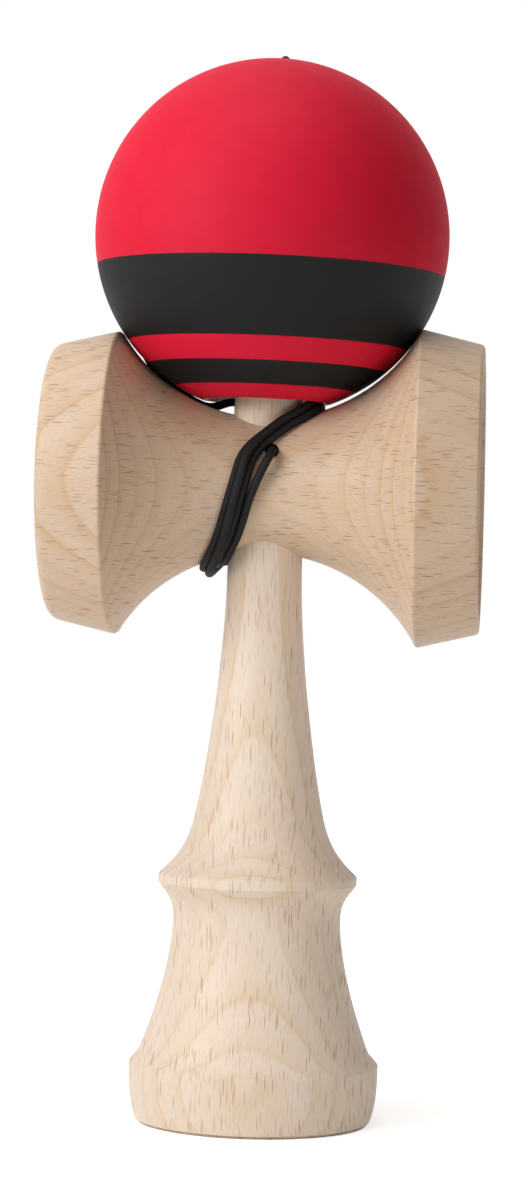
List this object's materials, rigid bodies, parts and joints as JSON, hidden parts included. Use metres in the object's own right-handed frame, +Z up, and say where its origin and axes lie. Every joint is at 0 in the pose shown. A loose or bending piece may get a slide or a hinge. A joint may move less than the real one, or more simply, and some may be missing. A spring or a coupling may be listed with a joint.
{
  "type": "kendama",
  "caption": "Wooden cup-and-ball toy: a turned handle with a spike and base cup, a cross piece with two cups, and a holed ball on a wound string.",
  "frame": {"origin": "centre of the base cup's rim, on the surface that it stands on", "axes": "+Z up the ken to the spike, +X along the sarado to the big cup, -Y towards the front with the string hole"},
  "size_m": [0.0734, 0.0604, 0.1822],
  "materials": {
    "beech": "smooth turned beech, matte",
    "red_paint": "satin red paint with black stripes, on beech",
    "bead_wood": "plain wood",
    "cord": "braided black cord"
  },
  "bodies": {
    "ken": {"ken": "beech", "ken_knot": "cord", "cord_tail": "cord"},
    "sarado": {"sarado": "beech", "cord_winding": "cord", "cord_stretch": "cord"},
    "bead": {"bead": "bead_wood", "bead_knot": "cord"},
    "tama": {"tama": "red_paint"}
  },
  "joints": [
    {"name": "sarado_pull", "type": "slide", "parent": "ken", "child": "sarado", "axis": [0, 0, 1], "range_m": [0, 0.07]},
    {"name": "tama_lift", "type": "slide", "parent": "sarado", "child": "bead", "axis": [0, 0, 1], "range_m": [0, 0.045], "deforming": ["cord_stretch"]},
    {"name": "tama_spin", "type": "hinge", "parent": "bead", "child": "tama", "pos_m": [0, 0, 0.15082], "axis": [0.0192, 0, 0.9998], "continuous": true}
  ]
}
